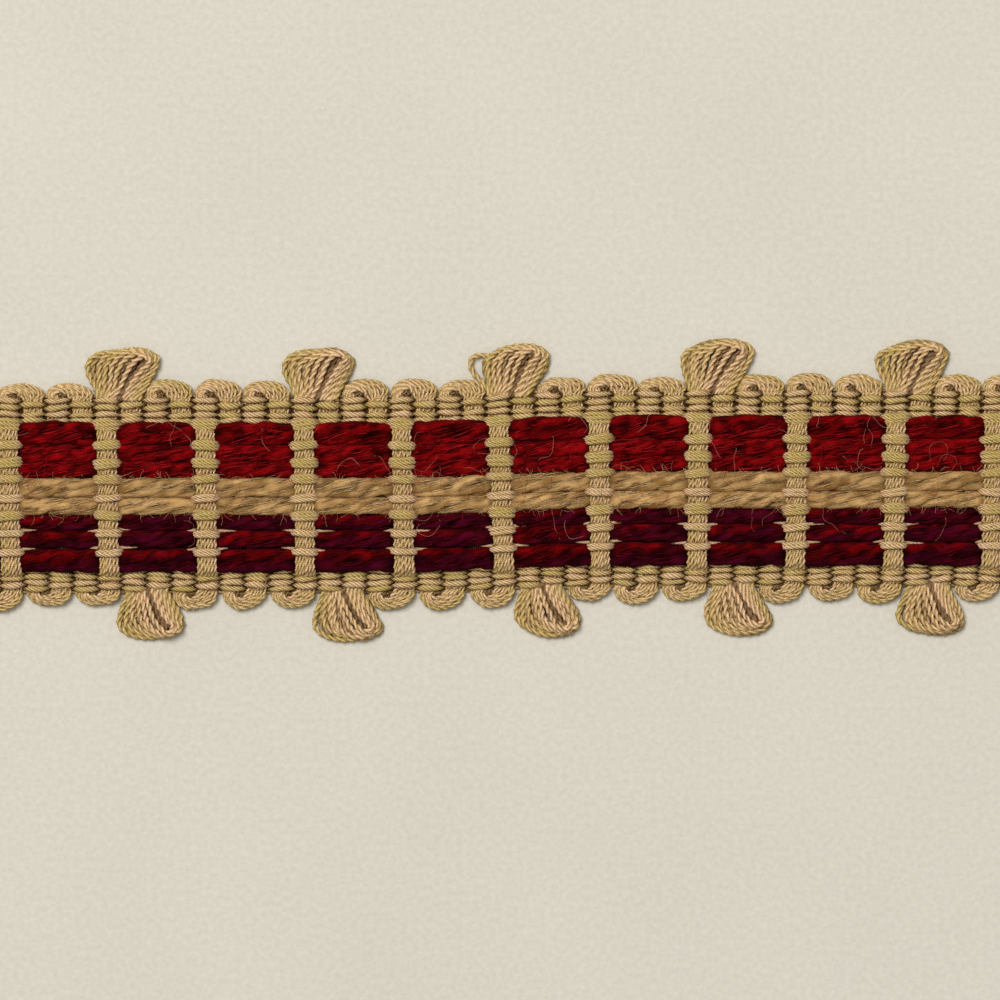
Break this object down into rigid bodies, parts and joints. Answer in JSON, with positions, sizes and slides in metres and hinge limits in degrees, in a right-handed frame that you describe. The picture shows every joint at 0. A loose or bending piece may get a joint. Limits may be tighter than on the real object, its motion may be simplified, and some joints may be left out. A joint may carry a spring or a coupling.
{
  "type": "braid trim",
  "caption": "Narrow woven braid trim, laid flat: wool stripes in crimson, tan and maroon held under raised cross ribs, with scalloped selvedges and fans of looped thread.",
  "frame": {"origin": "middle of the cut length and of the width over the fans, on the flat back", "axes": "+X along the trim, +Y across it towards the crimson edge, +Z out of its face"},
  "size_m": [0.1112, 0.0297, 0.003],
  "materials": {
    "ground_thread": "twisted beige and olive thread, soft sheen",
    "wool_red": "crimson wool, matte",
    "wool_tan": "tan wool, matte",
    "wool_maroon": "maroon and purple wool, matte"
  },
  "bodies": {
    "root": {"ground_band": "ground_thread", "selvedge_upper": "ground_thread", "selvedge_lower": "ground_thread", "wool_red_1": "wool_red", "wool_red_2": "wool_red", "wool_red_3": "wool_red", "wool_tan_1": "wool_tan", "wool_tan_2": "wool_tan", "wool_maroon_1": "wool_maroon", "wool_maroon_2": "wool_maroon", "wool_maroon_3": "wool_maroon"}
  },
  "joints": []
}
